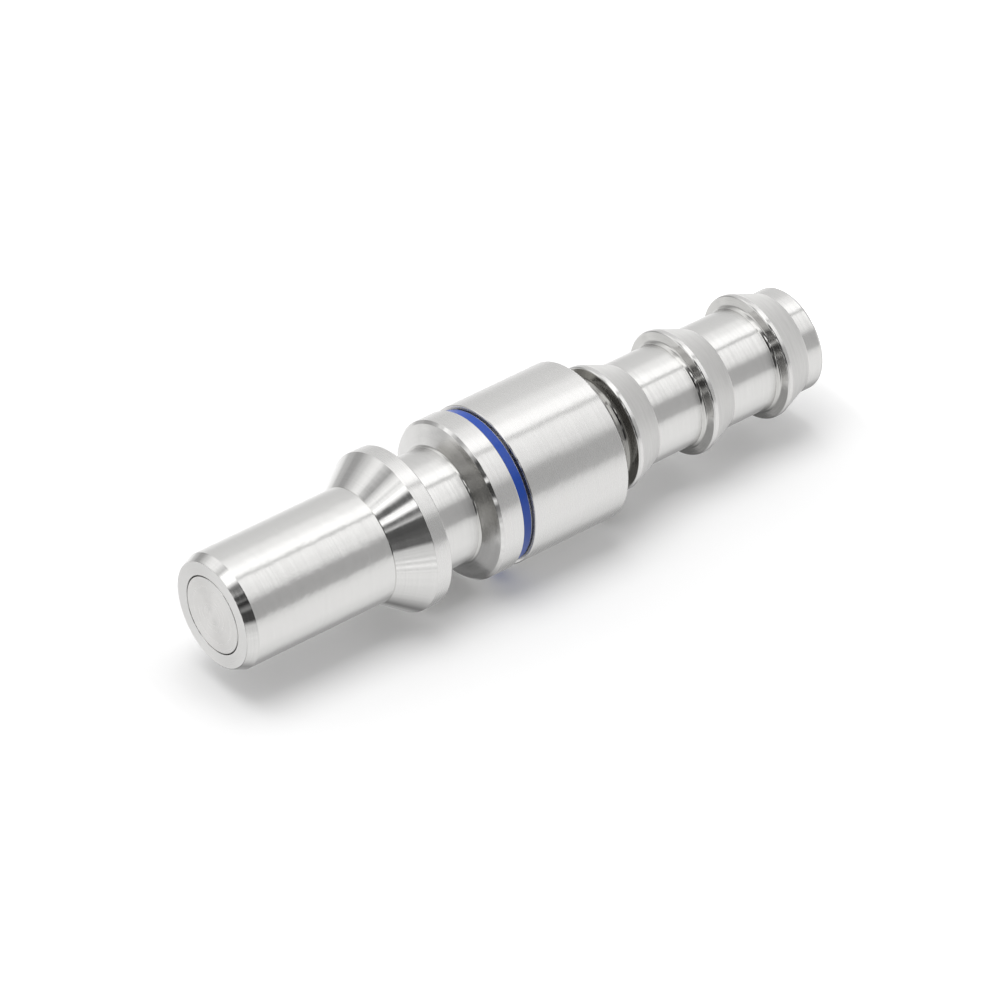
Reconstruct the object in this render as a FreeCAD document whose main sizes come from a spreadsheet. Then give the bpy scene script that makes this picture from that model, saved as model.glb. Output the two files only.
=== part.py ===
import FreeCAD, Part
import math
import os
import re
import Sketcher

# Plug half of a flat-face, dripless quick coupling for a liquid cooling hose.
# It stands on its hose end: Z runs along its axis from the tail end to the nose.
# Every piece but the guide's windows, the snap ring's gap and the spring is turned.

DRIVING_SIZES = {
    # Outside of the two halves, along the axis from the tail end to the nose
    "body_dia": 15.0,
    "tail_land": 1.8,
    "tail_dia": 9.85,
    "stem_dia": 9.8,
    "ridge_dia": 11.9,
    "ridge_count": 3,
    "ridge_pitch": 8.65,
    "ridge_slope": 2.75,
    "ridge_crest": 0.45,
    "ridge_lean": 0.3,
    "relief_width": 1.95,
    "barrel_length": 10.7,
    "groove_width": 1.2,
    "flange_width": 3.25,
    "flange_dish": 0.8,
    "flange_rim": 0.25,
    "neck_length": 4.7,
    "neck_dia": 10.8,
    "collar_land": 1.6,
    "ramp_length": 2.9,
    "nose_length": 15.5,
    "nose_dia": 10.8,
    "lead_length": 0.95,
    "lead_depth": 0.45,
    # Edges
    "ridge_root": 0.45,
    "ridge_round": 0.22,
    "neck_root": 0.3,
    "barrel_chamfer": 0.35,
    "edge_break": 0.12,
    "tail_round": 0.35,
    "face_break": 0.06,
    # Bores and the screwed joint between the halves
    "tail_bore": 7.4,
    "bore_mouth": 0.35,
    "barrel_wall": 0.9,
    "thread_clearance": 0.03,
    "thread_step": 0.3,
    "spigot_length": 7.2,
    "spigot_chamfer": 0.4,
    "spigot_gap": 0.3,
    "seal_land_length": 2.1,
    "nose_wall": 1.2,
    "guide_ledge": 0.3,
    "guide_depth": 26.0,
    # Colour ring
    "ring_recess": 0.3,
    "ring_section": 0.36,
    "ring_gap": 0.15,
    "ring_clearance": 0.02,
    # Valve poppet
    "face_land": 1.295,
    "head_clearance": 0.08,
    "seat_depth": 3.2,
    "seat_gap": 0.02,
    "shoulder_step": 0.3,
    "shoulder_height": 1.2,
    "boss_length": 1.0,
    "stem_rod": 2.8,
    "stem_overrun": 1.0,
    # Seals
    "seal_cord": 0.84,
    "seal_room": 0.18,
    "seal_fit": 0.01,
    "seal_slip": 0.03,
    "poppet_seal_depth": 1.1,
    "body_seal_back": 0.5,
    # Guide and its snap ring
    "guide_clearance": 0.03,
    "guide_ring_wall": 0.6,
    "guide_thick": 2.0,
    "web_thick": 1.5,
    "seat_margin": 0.1,
    "spring_seat_height": 2.3,
    "hub_height": 6.5,
    "rod_clearance": 0.03,
    "leg_count": 3,
    "leg_width": 1.2,
    "clip_section": 0.72,
    "clip_thick": 0.6,
    "clip_play": 0.06,
    "clip_bite": 0.3,
    "clip_gap_angle": 42.0,
    # Valve spring
    "spring_dia": 5.2,
    "wire_dia": 0.6,
    "spring_play": 0.3,
    "coil_gap": 0.05,
    "active_turns": 9,
}

doc = FreeCAD.newDocument("QuickCoupling")
sheet = doc.addObject("Spreadsheet::Sheet", "Sizes")
for row, (alias, number) in enumerate(DRIVING_SIZES.items(), start=1):
    sheet.set(f"A{row}", alias)
    sheet.set(f"B{row}", str(number))
    sheet.setAlias(f"B{row}", alias)
doc.recompute()


def bound(expression):
    """Turn the size names in an expression into references to the sheet."""
    return re.sub(r"[a-z][a-z_]*_[a-z_]+", lambda word: "Sizes." + word.group(), expression)


def value(expression):
    """The number that an expression over the sheet gives now."""
    return float(sheet_reader.evalExpression(bound(expression)))


def origin_feature(body, role):
    """The plane or axis of a body's own origin that has this role."""
    return next(item for item in body.Origin.OriginFeatures if item.Role == role)


def new_body(label):
    """A body whose label names its piece."""
    body = doc.addObject("PartDesign::Body", label)
    body.Label = label
    return body


def lift(piece, height):
    """Set a piece at its height on the coupling's axis."""
    piece.setExpression("Placement.Base.z", bound(height))


def pin_point(sketch, index, across, along):
    """Hold the start of a sketch line at a radius and a height given as expressions."""
    for kind, axis, expression in (("DistanceX", -2, across), ("DistanceY", -1, along)):
        if expression == "0":
            sketch.addConstraint(Sketcher.Constraint("PointOnObject", index, 1, axis))
            continue
        rule = Sketcher.Constraint(kind, -1, 1, index, 1, value(expression))
        number = sketch.addConstraint(rule)
        sketch.setExpression(f"Constraints[{number}]", bound(expression))


def outline_sketch(body, name, points):
    """A closed outline of straight lines on the XZ plane, through (radius, height) points."""
    sketch = body.newObject("Sketcher::SketchObject", name)
    sketch.AttachmentSupport = [(origin_feature(body, "XZ_Plane"), "")]
    sketch.MapMode = "FlatFace"
    corners = [FreeCAD.Vector(value(across), value(along), 0) for across, along in points]
    ends = corners[1:] + corners[:1]
    sketch.addGeometry([Part.LineSegment(a, b) for a, b in zip(corners, ends)], False)
    count = len(points)
    for index in range(count):
        after = (index + 1) % count
        sketch.addConstraint(Sketcher.Constraint("Coincident", index, 2, after, 1))
    for index, (across, along) in enumerate(points):
        pin_point(sketch, index, across, along)
    return sketch


def turn(body, name, points):
    """Add the solid that an outline sweeps about the axis."""
    sketch = outline_sketch(body, name + "_outline", points)
    solid = body.newObject("PartDesign::Revolution", name)
    solid.Profile = sketch
    solid.ReferenceAxis = (sketch, ["V_Axis"])
    solid.Angle = 360.0
    doc.recompute()
    return solid


def cut_groove(body, name, points):
    """Turn an outline's groove out of the body."""
    before = body.Shape.Volume
    sketch = outline_sketch(body, name + "_outline", points)
    groove = body.newObject("PartDesign::Groove", name)
    groove.Profile = sketch
    groove.ReferenceAxis = (sketch, ["V_Axis"])
    groove.Angle = 360.0
    doc.recompute()
    if body.Shape.Volume >= before:
        raise RuntimeError(name + " cut nothing")
    return groove


def round_edges(shape, places):
    """Names of the circular edges at the given (radius, height) places."""
    found = []
    for across, along in places:
        radius = value(across)
        height = value(along)
        for number, edge in enumerate(shape.Edges, start=1):
            curve = edge.Curve
            if not isinstance(curve, Part.Circle):
                continue
            if abs(curve.Radius - radius) < 1e-4 and abs(curve.Center.z - height) < 1e-4:
                found.append(f"Edge{number}")
                break
        else:
            raise RuntimeError(f"no edge at radius {radius:.3f} and height {height:.3f}")
    return found


def dress_edges(body, kind, name, size, places):
    """Fillet or chamfer the circular edges at the given places, by a named size."""
    base = body.Tip
    feature = body.newObject("PartDesign::" + kind, name)
    feature.Base = (base, round_edges(base.Shape, places))
    feature.setExpression("Radius" if kind == "Fillet" else "Size", bound(size))
    doc.recompute()
    return feature


# An empty object that only reads expressions, so that outlines start at their bound values
sheet_reader = doc.addObject("App::FeaturePython", "Reader")

# Radii, each worked out from the outside inwards
COUNTERBORE = "(body_dia / 2 - barrel_wall)"
SEAL_LAND = f"({COUNTERBORE} - thread_clearance)"
THREAD = f"({SEAL_LAND} - thread_step)"
THREAD_BORE = f"({THREAD} + thread_clearance)"
COLLAR_SEAT = "(body_dia / 2 - ring_recess - ring_section - ring_clearance)"
CHAMBER = "(nose_dia / 2 - nose_wall)"
GUIDE_BORE = f"({CHAMBER} + guide_ledge)"
SEAT_BORE = "(nose_dia / 2 - lead_depth - face_land)"
HEAD = f"({SEAT_BORE} - head_clearance)"
SPRING_CORE = "(spring_dia / 2 - wire_dia / 2 - spring_play)"
SPRING_SEAT = "(spring_dia / 2 + wire_dia / 2 + seat_margin)"

# Heights on the axis, each from the lengths below it
FIRST_RIDGE_FOOT = (
    "tail_land + (ridge_count - 1) * ridge_pitch + ridge_slope + ridge_crest + ridge_lean"
)
BARREL_REAR = f"{FIRST_RIDGE_FOOT} + relief_width"
BARREL_FRONT = f"{BARREL_REAR} + barrel_length"
SPIGOT_END = f"{BARREL_FRONT} - spigot_length"
NOSE_OVER_SEAT = (
    "groove_width + flange_width + neck_length + collar_land + ramp_length + nose_length"
)
NOSE_FACE = f"{BARREL_FRONT} + {NOSE_OVER_SEAT}"
GUIDE_REAR = f"{NOSE_FACE} - guide_depth - guide_thick"
GROOVE_LENGTH = "(seal_cord + 2 * seal_room)"
POPPET_LENGTH = "(guide_depth + guide_thick + stem_overrun)"


def build_hose_tail():
    """Barrel and three-ridge hose tail, turned in one, with the bore for the front half."""
    body = new_body("hose_tail")
    bore = "tail_bore / 2"
    floor = f"{SPIGOT_END} - spigot_gap"
    outside = [("tail_dia / 2", "0"), ("tail_dia / 2", "tail_land")]
    for ridge in range(int(value("ridge_count"))):
        start = f"tail_land + {ridge} * ridge_pitch"
        if ridge:
            outside.append(("stem_dia / 2", start))
        crest = f"{start} + ridge_slope"
        outside.append(("ridge_dia / 2", crest))
        outside.append(("ridge_dia / 2", f"{crest} + ridge_crest"))
        outside.append(("stem_dia / 2", f"{crest} + ridge_crest + ridge_lean"))
    outside.append(("stem_dia / 2", BARREL_REAR))
    outside.append(("body_dia / 2", BARREL_REAR))
    outside.append(("body_dia / 2", BARREL_FRONT))
    inside = [
        (COUNTERBORE, BARREL_FRONT),
        (COUNTERBORE, f"{BARREL_FRONT} - seal_land_length"),
        (THREAD_BORE, f"{BARREL_FRONT} - seal_land_length"),
        (THREAD_BORE, floor),
        (GUIDE_BORE, floor),
        (bore, f"{floor} - ({GUIDE_BORE} - tail_bore / 2)"),
        (bore, "0"),
    ]
    turn(body, "hose_tail_turned", outside + inside)
    roots = []
    crests = []
    for ridge in range(int(value("ridge_count"))):
        top = f"tail_land + {ridge} * ridge_pitch + ridge_slope + ridge_crest"
        roots.append(("stem_dia / 2", f"{top} + ridge_lean"))
        crests.append(("ridge_dia / 2", top))
    height = "(ridge_dia - stem_dia) / 2"
    dress_edges(body, "Fillet", "ridge_roots", f"min(ridge_root; 0.5 * {height})", roots)
    dress_edges(body, "Fillet", "ridge_crests", f"min(ridge_round; 0.3 * {height})", crests)
    dress_edges(body, "Fillet", "tail_end", "tail_round", [("tail_dia / 2", "0")])
    dress_edges(body, "Chamfer", "tail_mouth", "bore_mouth", [(bore, "0")])
    dress_edges(body, "Chamfer", "barrel_rear_edge", "barrel_chamfer",
                [("body_dia / 2", BARREL_REAR)])
    dress_edges(body, "Chamfer", "barrel_front_edge", "edge_break",
                [("body_dia / 2", BARREL_FRONT)])
    return body


def build_nose_body():
    """Nose, ramp collar, latch neck, flange and the spigot that screws into the barrel."""
    body = new_body("nose_body")
    lift(body, SPIGOT_END)
    seat = "spigot_length"
    thread_top = "spigot_length - seal_land_length"
    flange_rear = f"{seat} + groove_width"
    flange_front = f"{flange_rear} + flange_width"
    collar_rear = f"{flange_front} + neck_length"
    collar_front = f"{collar_rear} + collar_land"
    nose_root = f"{collar_front} + ramp_length"
    face = f"{seat} + {NOSE_OVER_SEAT}"
    outside = [
        (f"{THREAD} - spigot_chamfer", "0"),
        (THREAD, "spigot_chamfer"),
        (THREAD, thread_top),
        (SEAL_LAND, thread_top),
        (SEAL_LAND, seat),
        (COLLAR_SEAT, seat),
        (COLLAR_SEAT, flange_rear),
        ("body_dia / 2", flange_rear),
        ("body_dia / 2", f"{flange_front} - flange_dish - flange_rim"),
        ("body_dia / 2 - flange_rim", f"{flange_front} - flange_dish"),
        ("neck_dia / 2", flange_front),
        ("neck_dia / 2", collar_rear),
        ("body_dia / 2", collar_rear),
        ("body_dia / 2", collar_front),
        ("nose_dia / 2", nose_root),
        ("nose_dia / 2", f"{face} - lead_length"),
        ("nose_dia / 2 - lead_depth", face),
    ]
    inside = [
        (SEAT_BORE, face),
        (SEAT_BORE, f"{face} - seat_depth"),
        (CHAMBER, f"{face} - seat_depth - ({CHAMBER} - {SEAT_BORE})"),
        (CHAMBER, f"{face} - guide_depth"),
        (GUIDE_BORE, f"{face} - guide_depth"),
        (GUIDE_BORE, "0"),
    ]
    turn(body, "nose_body_turned", outside + inside)
    groove_top = f"{seat} - body_seal_back"
    groove_floor = f"{COUNTERBORE} - seal_cord"
    cut_groove(body, "body_seal_groove", [
        (groove_floor, f"{groove_top} - {GROOVE_LENGTH}"),
        (COUNTERBORE, f"{groove_top} - {GROOVE_LENGTH}"),
        (COUNTERBORE, groove_top),
        (groove_floor, groove_top),
    ])
    clip_top = f"{face} - guide_depth - guide_thick"
    cut_groove(body, "clip_groove", [
        (f"{GUIDE_BORE} - clip_bite", f"{clip_top} - clip_thick - clip_play"),
        (f"{GUIDE_BORE} + clip_bite", f"{clip_top} - clip_thick - clip_play"),
        (f"{GUIDE_BORE} + clip_bite", clip_top),
        (f"{GUIDE_BORE} - clip_bite", clip_top),
    ])
    dress_edges(body, "Fillet", "neck_roots", "neck_root",
                [("neck_dia / 2", flange_front), ("neck_dia / 2", collar_rear)])
    dress_edges(body, "Chamfer", "turned_edges", "edge_break",
                [("body_dia / 2", flange_rear), ("body_dia / 2", collar_rear),
                 (GUIDE_BORE, "0")])
    dress_edges(body, "Chamfer", "face_edge", "face_break", [(SEAT_BORE, face)])
    return body


def build_colour_ring():
    """Plain ring trapped between flange and barrel, set back from their outside."""
    body = new_body("colour_ring")
    lift(body, f"{BARREL_FRONT} + ring_gap")
    inner = f"{COLLAR_SEAT} + ring_clearance"
    outer = "body_dia / 2 - ring_recess"
    width = "groove_width - ring_gap"
    turn(body, "colour_ring_turned",
         [(inner, "0"), (outer, "0"), (outer, width), (inner, width)])
    dress_edges(body, "Fillet", "colour_ring_edge", "face_break", [(outer, "0")])
    return body


def build_valve_poppet():
    """Flush head with its seal groove, seating shoulder, spring boss and long stem."""
    body = new_body("valve_poppet")
    lift(body, f"{NOSE_FACE} - {POPPET_LENGTH}")
    top = POPPET_LENGTH
    shoulder = f"{top} - seat_depth - shoulder_height"
    cone_start = f"{top} - seat_depth - seat_gap + head_clearance"
    cone_end = f"{cone_start} - shoulder_step"
    boss_end = f"{shoulder} - boss_length"
    turn(body, "valve_poppet_turned", [
        ("0", "0"),
        ("stem_rod / 2 - edge_break", "0"),
        ("stem_rod / 2", "edge_break"),
        ("stem_rod / 2", boss_end),
        (f"{SPRING_CORE} - edge_break", boss_end),
        (SPRING_CORE, f"{boss_end} + edge_break"),
        (SPRING_CORE, shoulder),
        (f"{HEAD} + shoulder_step", shoulder),
        (f"{HEAD} + shoulder_step", cone_end),
        (HEAD, cone_start),
        (HEAD, f"{top} - face_break"),
        (f"{HEAD} - face_break", top),
        ("0", top),
    ])
    groove_floor = f"{HEAD} + head_clearance - seal_slip - seal_cord"
    groove_top = f"{top} - poppet_seal_depth"
    cut_groove(body, "poppet_seal_groove", [
        (groove_floor, f"{groove_top} - {GROOVE_LENGTH}"),
        (f"{HEAD} + edge_break", f"{groove_top} - {GROOVE_LENGTH}"),
        (f"{HEAD} + edge_break", groove_top),
        (groove_floor, groove_top),
    ])
    return body


def build_seal(label, outer, height):
    """Round-section seal ring, as squeezed in its groove, by its outer radius and height."""
    seal = doc.addObject("Part::Torus", label)
    seal.Label = label
    seal.setExpression("Radius1", bound(f"{outer} - seal_cord / 2"))
    seal.setExpression("Radius2", bound("seal_cord / 2 - seal_fit"))
    lift(seal, height)
    return seal


def build_valve_guide():
    """Spider: outer ring, three legs between flow windows, spring seat and hub bush."""
    body = new_body("valve_guide")
    lift(body, GUIDE_REAR)
    rod = "stem_rod / 2 + rod_clearance"
    outer = f"({GUIDE_BORE} - guide_clearance)"
    ring_inner = f"{outer} - guide_ring_wall"
    turn(body, "valve_guide_turned", [
        (rod, "0"),
        (outer, "0"),
        (outer, "guide_thick"),
        (ring_inner, "guide_thick"),
        (ring_inner, "web_thick"),
        (SPRING_SEAT, "web_thick"),
        (SPRING_SEAT, "spring_seat_height"),
        (SPRING_CORE, "spring_seat_height"),
        (SPRING_CORE, "hub_height"),
        (rod, "hub_height"),
    ])
    add_flow_windows(body, ring_inner, SPRING_SEAT)
    return body


def add_flow_windows(body, outer, inner):
    """Cut one kidney window through the guide's web and repeat it round the axis."""
    window = body.newObject("Sketcher::SketchObject", "flow_window_outline")
    window.AttachmentSupport = [(origin_feature(body, "XY_Plane"), "")]
    window.MapMode = "FlatFace"
    high = value(outer)
    low = value(inner)
    middle = (high + low) / 2
    cap = (high - low) / 2
    lost_angle = f"2 * asin((leg_width / 2 + ({outer} - {inner}) / 2) / (({outer} + {inner}) / 2))"
    span_rule = f"360 deg / leg_count - {lost_angle}"
    half = math.radians(180 / value("leg_count"))
    half = half - math.asin((value("leg_width") / 2 + cap) / middle)
    axis = FreeCAD.Vector(0, 0, 1)
    centre = FreeCAD.Vector(0, 0, 0)
    far = FreeCAD.Vector(middle * math.cos(half), middle * math.sin(half), 0)
    near = FreeCAD.Vector(far.x, -far.y, 0)
    window.addGeometry([
        Part.ArcOfCircle(Part.Circle(centre, axis, high), -half, half),
        Part.ArcOfCircle(Part.Circle(far, axis, cap), half, half + math.pi),
        Part.ArcOfCircle(Part.Circle(centre, axis, low), -half, half),
        Part.ArcOfCircle(Part.Circle(near, axis, cap), math.pi - half, 2 * math.pi - half),
    ], False)
    for arc in (0, 2):
        window.addConstraint(Sketcher.Constraint("Coincident", arc, 3, -1, 1))
    for first, end, second, start in ((0, 2, 1, 1), (1, 2, 2, 2), (2, 1, 3, 1), (3, 2, 0, 1)):
        window.addConstraint(Sketcher.Constraint("Tangent", first, end, second, start))
    window.addConstraint(Sketcher.Constraint("Symmetric", 0, 1, 0, 2, -1))
    for arc, rule in ((0, outer), (2, inner)):
        number = window.addConstraint(Sketcher.Constraint("Radius", arc, value(rule)))
        window.setExpression(f"Constraints[{number}]", bound(rule))
    number = window.addConstraint(Sketcher.Constraint("Angle", 0, 2 * half))
    window.setExpression(f"Constraints[{number}]", bound(span_rule))
    before = body.Shape.Volume
    pocket = body.newObject("PartDesign::Pocket", "flow_window")
    pocket.Profile = window
    pocket.Type = "ThroughAll"
    pocket.Reversed = True
    doc.recompute()
    if body.Shape.Volume >= before:
        raise RuntimeError("the flow window cut nothing")
    ring = body.newObject("PartDesign::PolarPattern", "flow_windows")
    ring.Originals = [pocket]
    ring.Axis = (origin_feature(body, "Z_Axis"), [""])
    ring.Angle = 360.0
    ring.setExpression("Occurrences", bound("leg_count"))
    body.Tip = ring
    doc.recompute()


def build_guide_clip():
    """Open snap ring of flat section, sprung into its groove behind the guide."""
    body = new_body("guide_clip")
    lift(body, f"{GUIDE_REAR} - clip_thick - clip_play / 2")
    outer = f"({GUIDE_BORE} + clip_bite - clip_play)"
    inner = f"{outer} - clip_section"
    sketch = outline_sketch(body, "guide_clip_outline", [
        (inner, "0"), (outer, "0"), (outer, "clip_thick"), (inner, "clip_thick"),
    ])
    ring = body.newObject("PartDesign::Revolution", "guide_clip_turned")
    ring.Profile = sketch
    ring.ReferenceAxis = (sketch, ["V_Axis"])
    ring.setExpression("Angle", bound("360 - clip_gap_angle"))
    doc.recompute()
    return body


def build_valve_spring():
    """Compression spring: close coiled, ground flat end turns and an open active coil."""
    rest_length = value(
        "guide_depth + guide_thick - seat_depth - shoulder_height - spring_seat_height"
    )
    wire = value("wire_dia")
    radius = value("spring_dia / 2")
    active = int(value("active_turns"))
    closed_pitch = wire + value("coil_gap")
    steps = 8
    turns = active + 2
    # The wire's centre runs from one ground face to the other. It rises by the closed
    # pitch over each end turn, and the active turns share what is left of the length.
    open_rise = rest_length - 2 * closed_pitch
    points = []
    for step in range(turns * steps + 1):
        turn_number = step / steps
        if turn_number <= 1:
            height = turn_number * closed_pitch
        elif turn_number >= turns - 1:
            height = rest_length - (turns - turn_number) * closed_pitch
        else:
            height = closed_pitch + (turn_number - 1) / active * open_rise
        angle = 2 * math.pi * turn_number
        points.append(FreeCAD.Vector(radius * math.cos(angle), radius * math.sin(angle), height))
    path = Part.BSplineCurve()
    path.interpolate(points)
    coil_line = Part.Wire([path.toShape()])
    tangent = path.tangent(path.FirstParameter)[0]
    section = Part.Wire([Part.makeCircle(wire / 2, points[0], tangent)])
    coil = coil_line.makePipeShell([section], True, True)
    outside = radius + wire
    keeper = Part.makeCylinder(outside, rest_length)
    spring = doc.addObject("Part::Feature", "valve_spring")
    spring.Label = "valve_spring"
    spring.Shape = coil.common(keeper).removeSplitter()
    lift(spring, f"{GUIDE_REAR} + spring_seat_height")
    return spring


pieces = [
    build_hose_tail(),
    build_nose_body(),
    build_colour_ring(),
    build_valve_poppet(),
    build_seal("poppet_seal", f"{SEAT_BORE} - seal_slip",
               f"{NOSE_FACE} - poppet_seal_depth - {GROOVE_LENGTH} / 2"),
    build_seal("body_seal", COUNTERBORE,
               f"{BARREL_FRONT} - body_seal_back - {GROOVE_LENGTH} / 2"),
    build_valve_guide(),
    build_guide_clip(),
    build_valve_spring(),
]
doc.recompute()

for item in doc.Objects:
    if any(word in ("Invalid", "Error") for word in item.State):
        raise RuntimeError(f"{item.Label} failed: {item.State}")
for piece in pieces:
    shape = piece.Shape
    if shape.isNull() or not shape.isValid() or len(shape.Solids) != 1:
        raise RuntimeError(f"{piece.Label} is not one valid solid")

os.makedirs("parts", exist_ok=True)
for piece in pieces:
    piece.Shape.exportStep(os.path.join("parts", piece.Label + ".step"))
    box = piece.Shape.BoundBox
    print(f"{piece.Label}: {piece.Shape.Volume:.1f} mm3, z {box.ZMin:.2f} to {box.ZMax:.2f}")
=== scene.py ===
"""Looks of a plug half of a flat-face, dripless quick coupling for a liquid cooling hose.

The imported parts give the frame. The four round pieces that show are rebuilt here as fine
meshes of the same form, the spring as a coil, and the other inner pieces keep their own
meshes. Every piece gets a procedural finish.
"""

from __future__ import annotations

import logging
import math
from abc import ABC, abstractmethod
from dataclasses import dataclass
from enum import Enum
from functools import cache
from typing import ClassVar

import bpy
from mathutils import Matrix, Vector

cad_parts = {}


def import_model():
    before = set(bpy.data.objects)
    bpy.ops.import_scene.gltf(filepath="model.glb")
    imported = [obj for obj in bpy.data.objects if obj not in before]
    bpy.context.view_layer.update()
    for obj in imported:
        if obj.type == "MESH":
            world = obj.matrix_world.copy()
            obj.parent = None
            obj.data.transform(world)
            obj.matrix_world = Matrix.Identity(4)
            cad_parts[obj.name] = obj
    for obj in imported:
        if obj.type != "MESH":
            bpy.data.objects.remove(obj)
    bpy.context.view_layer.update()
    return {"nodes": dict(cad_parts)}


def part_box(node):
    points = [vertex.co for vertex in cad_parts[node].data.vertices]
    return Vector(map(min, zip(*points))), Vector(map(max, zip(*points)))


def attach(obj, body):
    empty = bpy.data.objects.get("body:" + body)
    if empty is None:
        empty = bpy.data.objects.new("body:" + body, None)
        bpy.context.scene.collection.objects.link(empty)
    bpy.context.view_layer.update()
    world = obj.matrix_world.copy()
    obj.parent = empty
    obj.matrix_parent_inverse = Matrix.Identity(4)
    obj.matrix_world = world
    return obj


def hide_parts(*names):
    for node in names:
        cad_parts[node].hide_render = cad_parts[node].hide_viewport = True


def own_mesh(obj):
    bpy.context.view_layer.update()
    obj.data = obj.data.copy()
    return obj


MM = 0.001

# How finely the turned pieces are drawn, and how close to the axis a point closes to a tip
ROUND_THE_AXIS = 288
ARC_STEP = math.radians(15)
ON_AXIS = 1e-6

# The share of a line that the rounding at one of its ends may take up
ROUNDING_ROOM = 0.48

# Radii of broken edges, in millimetres
CRISP = 0.05
FINE = 0.08
SOFT = 0.12

# Radii that several pieces share, in millimetres
BODY_RADIUS = 7.5
GUIDE_RADIUS = 4.5

Pair = tuple[float, float]
Triple = tuple[float, float, float]
Colour = Triple
WHITE: Colour = (1.0, 1.0, 1.0)

# What feeds an input of a node: another node's output, or a plain value
Feed = bpy.types.NodeSocket | float | tuple[float, ...]
Feeds = dict[str | int, Feed]

log = logging.getLogger("quick_coupling")


class Surface(Enum):
    """How a stretch of a piece was finished, with painted shade on some, and the name of its
    material.
    """

    SATIN = "satin_turned"
    BARREL = "satin_barrel"
    STEM = "satin_stem"
    RAMP = "polished_ramp"
    LEAD_IN = "polished_lead_in"
    FACED = "faced_nose"
    DISH = "faced_flange"
    SLOPE = "matt_slope"
    # Polished ridge fronts and root fillets, with painted shade as a darker steel colour
    PAINTED_SHADE_RIDGE_FACE = "polished_ridge_face_painted_shade"
    EDGE = "bright_edge"
    # Painted shade in crevices, as a dark steel colour
    PAINTED_SHADE_CREVICE = "crevice_painted_shade"
    BORE = "bored_inside"
    POPPET = "faced_poppet"
    BLUE = "blue_plastic"
    RUBBER = "seal_rubber"
    MILLED = "milled_guide"
    WIRE = "drawn_wire"


class Nodes:
    """A short way to write a node tree."""

    def __init__(self, tree: bpy.types.NodeTree) -> None:
        """Take a tree and empty it.

        Args:
            tree: The tree that the nodes go into.
        """
        self.tree = tree
        tree.nodes.clear()

    def add(self, kind: str, feeds: Feeds | None = None, **settings: object) -> bpy.types.Node:
        """Add a node, set it up and feed its inputs.

        Args:
            kind: The node's type in Blender.
            feeds: Sockets to link, or plain values to set, by input name or number.
            settings: Attributes of the node itself.

        Returns:
            The new node.
        """
        node = self.tree.nodes.new(kind)
        for name, value in settings.items():
            setattr(node, name, value)
        for key, value in (feeds or {}).items():
            if isinstance(value, bpy.types.NodeSocket):
                self.tree.links.new(value, node.inputs[key])
            else:
                node.inputs[key].default_value = value
        return node

    def reckon(self, operation: str, *values: Feed) -> bpy.types.NodeSocket:
        """Work out one value from others.

        Args:
            operation: The name of the Math node's operation.
            values: Sockets or numbers, in the operation's order.

        Returns:
            The socket with the result.
        """
        feeds: Feeds = dict(enumerate(values))
        return self.add("ShaderNodeMath", feeds, operation=operation).outputs[0]

    def blend(self, share: Feed, low: Feed, high: Feed) -> bpy.types.NodeSocket:
        """Mix two colours, which a Mix node takes as its inputs 6 and 7 and gives as output 2.

        Args:
            share: How much of the second colour shows, from 0 to 1.
            low: The colour at 0.
            high: The colour at 1.

        Returns:
            The socket with the mixed colour.
        """
        feeds: Feeds = {"Factor": share}
        for slot, colour in ((6, low), (7, high)):
            feeds[slot] = (*colour, 1.0) if isinstance(colour, tuple) else colour
        return self.add("ShaderNodeMix", feeds, data_type="RGBA").outputs[2]

    def spread(self, value: Feed, low: float, high: float, reach: Pair = (0.0, 1.0),
               eased: bool = False) -> bpy.types.NodeSocket:
        """Stretch a value over another range.

        Args:
            value: The socket to stretch.
            low: The result at the start of its reach.
            high: The result at the end of its reach.
            reach: The range of the value itself.
            eased: Whether the result eases in and out.

        Returns:
            The socket with the stretched value.
        """
        feeds: Feeds = {
            "Value": value, "From Min": reach[0], "From Max": reach[1],
            "To Min": low, "To Max": high,
        }
        curve = "SMOOTHSTEP" if eased else "LINEAR"
        return self.add("ShaderNodeMapRange", feeds, interpolation_type=curve).outputs[0]

    def noise(self, detail: float, roughness: float = 0.5, scale: Feed = 1.0,
              **where: Feed) -> bpy.types.NodeSocket:
        """Add a noise, along a line where W is given and in space where Vector is given.

        Args:
            detail: How many finer layers it has.
            roughness: How strong the finer layers are.
            scale: How many grains it has along one unit.
            where: The place that it is read at, as W or Vector.

        Returns:
            The socket with its value, near 0.5.
        """
        feeds: Feeds = {**where, "Scale": scale, "Detail": detail, "Roughness": roughness}
        size = "1D" if "W" in where else "3D"
        return self.add("ShaderNodeTexNoise", feeds, noise_dimensions=size).outputs["Fac"]


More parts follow.
